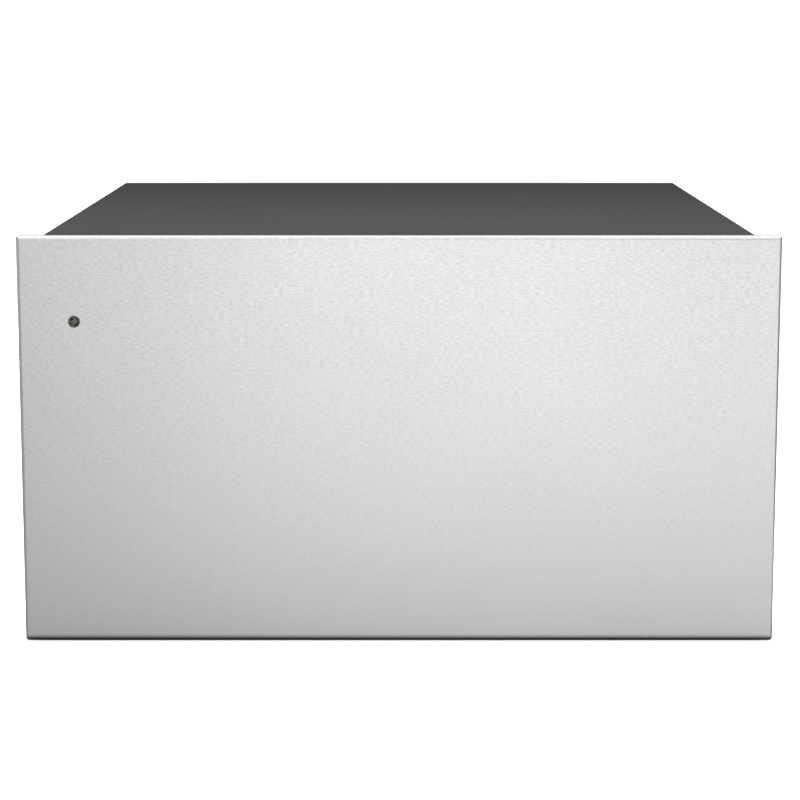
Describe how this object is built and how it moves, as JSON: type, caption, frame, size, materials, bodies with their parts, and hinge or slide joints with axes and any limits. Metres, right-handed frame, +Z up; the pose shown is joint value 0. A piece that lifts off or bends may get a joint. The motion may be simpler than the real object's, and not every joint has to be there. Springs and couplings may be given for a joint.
{
  "type": "warming drawer",
  "caption": "Built-in warming drawer: plain push-to-open stainless front with a pilot lens, dark sheet casing, tub on ball-bearing runners, fan heater above.",
  "frame": {"origin": "middle of the overall width and depth, on the floor under the feet", "axes": "+X to the right as seen from the front, -Y to the front where the drawer opens, +Z up"},
  "size_m": [0.595, 0.5708, 0.324],
  "materials": {
    "casing_enamel": "satin",
    "brushed_stainless": "brushed",
    "plain_stainless": "satin",
    "heater_sheath": "satin",
    "zinc_steel": "satin",
    "ball_steel": "polished",
    "fan_aluminium": "satin",
    "motor_lacquer": "satin",
    "brass": "satin",
    "black_plastic": "fine texture",
    "pale_plastic": "satin",
    "grey_plastic": "satin",
    "rocker_red": "gloss",
    "lens_smoke": "clear",
    "black_rubber": "matt",
    "mineral_wool": "matt",
    "magnet_nickel": "satin"
  },
  "bodies": {
    "casing": {"base_panel": "casing_enamel", "left_side_panel": "casing_enamel", "right_side_panel": "casing_enamel", "top_cover": "casing_enamel", "back_panel": "casing_enamel", "ceiling_grille": "plain_stainless", "heater_pan": "plain_stainless", "heating_ring": "heater_sheath", "heater_clips": "zinc_steel", "fan_motor": "motor_lacquer", "motor_posts": "brass", "thermal_cutout": "black_plastic", "control_fascia": "black_plastic", "thermostat": "pale_plastic", "rocker_housing": "black_plastic", "pilot_lamp": "pale_plastic", "terminal_cover": "black_plastic", "terminal_block": "pale_plastic", "cable_gland": "black_plastic", "gland_locknut": "black_plastic", "left_outer_rail": "zinc_steel", "right_outer_rail": "zinc_steel", "rail_rivets": "zinc_steel", "latch_body": "pale_plastic", "latch_spring": "zinc_steel", "feet": "black_rubber", "cover_screws": "zinc_steel", "back_screws": "zinc_steel"},
    "drawer": {"front_skin": "brushed_stainless", "front_liner": "plain_stainless", "front_insulation": "mineral_wool", "pilot_bezel": "black_plastic", "light_pipe": "lens_smoke", "front_seal": "black_rubber", "drawer_tub": "plain_stainless", "anti_slip_mat": "black_rubber", "left_inner_rail": "zinc_steel", "right_inner_rail": "zinc_steel", "inner_rail_screws": "zinc_steel", "front_screws": "zinc_steel", "strike_plate": "plain_stainless"},
    "left_middle": {"left_middle_rail": "zinc_steel"},
    "right_middle": {"right_middle_rail": "zinc_steel"},
    "left_outer_ball_set": {"left_outer_cage": "zinc_steel", "left_outer_balls": "ball_steel"},
    "right_outer_ball_set": {"right_outer_cage": "zinc_steel", "right_outer_balls": "ball_steel"},
    "left_inner_ball_set": {"left_inner_cage": "zinc_steel", "left_inner_balls": "ball_steel"},
    "right_inner_ball_set": {"right_inner_cage": "zinc_steel", "right_inner_balls": "ball_steel"},
    "fan": {"fan_rotor": "fan_aluminium", "fan_shaft": "zinc_steel"},
    "knob": {"temperature_knob": "black_plastic", "knob_shaft": "brass"},
    "rocker": {"power_rocker": "rocker_red"},
    "plunger": {"latch_plunger": "grey_plastic", "latch_magnet": "magnet_nickel"}
  },
  "joints": [
    {"name": "drawer_slide", "type": "slide", "parent": "casing", "child": "drawer", "axis": [0, -1, 0], "range_m": [0, 0.42]},
    {"name": "left_middle_slide", "type": "slide", "parent": "casing", "child": "left_middle", "axis": [0, -1, 0], "range_m": [0, 0.21]},
    {"name": "left_outer_ball_set_slide", "type": "slide", "parent": "casing", "child": "left_outer_ball_set", "axis": [0, -1, 0], "range_m": [0, 0.105]},
    {"name": "left_inner_ball_set_slide", "type": "slide", "parent": "casing", "child": "left_inner_ball_set", "axis": [0, -1, 0], "range_m": [0, 0.315]},
    {"name": "right_middle_slide", "type": "slide", "parent": "casing", "child": "right_middle", "axis": [0, -1, 0], "range_m": [0, 0.21]},
    {"name": "right_outer_ball_set_slide", "type": "slide", "parent": "casing", "child": "right_outer_ball_set", "axis": [0, -1, 0], "range_m": [0, 0.105]},
    {"name": "right_inner_ball_set_slide", "type": "slide", "parent": "casing", "child": "right_inner_ball_set", "axis": [0, -1, 0], "range_m": [0, 0.315]},
    {"name": "fan_spin", "type": "hinge", "parent": "casing", "child": "fan", "pos_m": [0, 0.0144, 0.263], "axis": [0, 0, 1], "continuous": true},
    {"name": "knob_turn", "type": "hinge", "parent": "casing", "child": "knob", "pos_m": [-0.1784, -0.2386, 0.283], "axis": [0, 1, 0], "range_deg": [0, 270]},
    {"name": "rocker_tip", "type": "hinge", "parent": "casing", "child": "rocker", "pos_m": [-0.1084, -0.2382, 0.283], "axis": [1, 0, 0], "range_deg": [0, 16]},
    {"name": "plunger_press", "type": "slide", "parent": "casing", "child": "plunger", "axis": [0, 1, 0], "range_m": [0, 0.003], "stiffness_N_per_m": 400, "deforming": ["latch_spring"]}
  ],
  "couplings": [
    {"joint": "left_middle_slide", "follows": "drawer_slide", "ratio": 0.5},
    {"joint": "left_outer_ball_set_slide", "follows": "drawer_slide", "ratio": 0.25},
    {"joint": "left_inner_ball_set_slide", "follows": "drawer_slide", "ratio": 0.75},
    {"joint": "right_middle_slide", "follows": "drawer_slide", "ratio": 0.5},
    {"joint": "right_outer_ball_set_slide", "follows": "drawer_slide", "ratio": 0.25},
    {"joint": "right_inner_ball_set_slide", "follows": "drawer_slide", "ratio": 0.75}
  ]
}
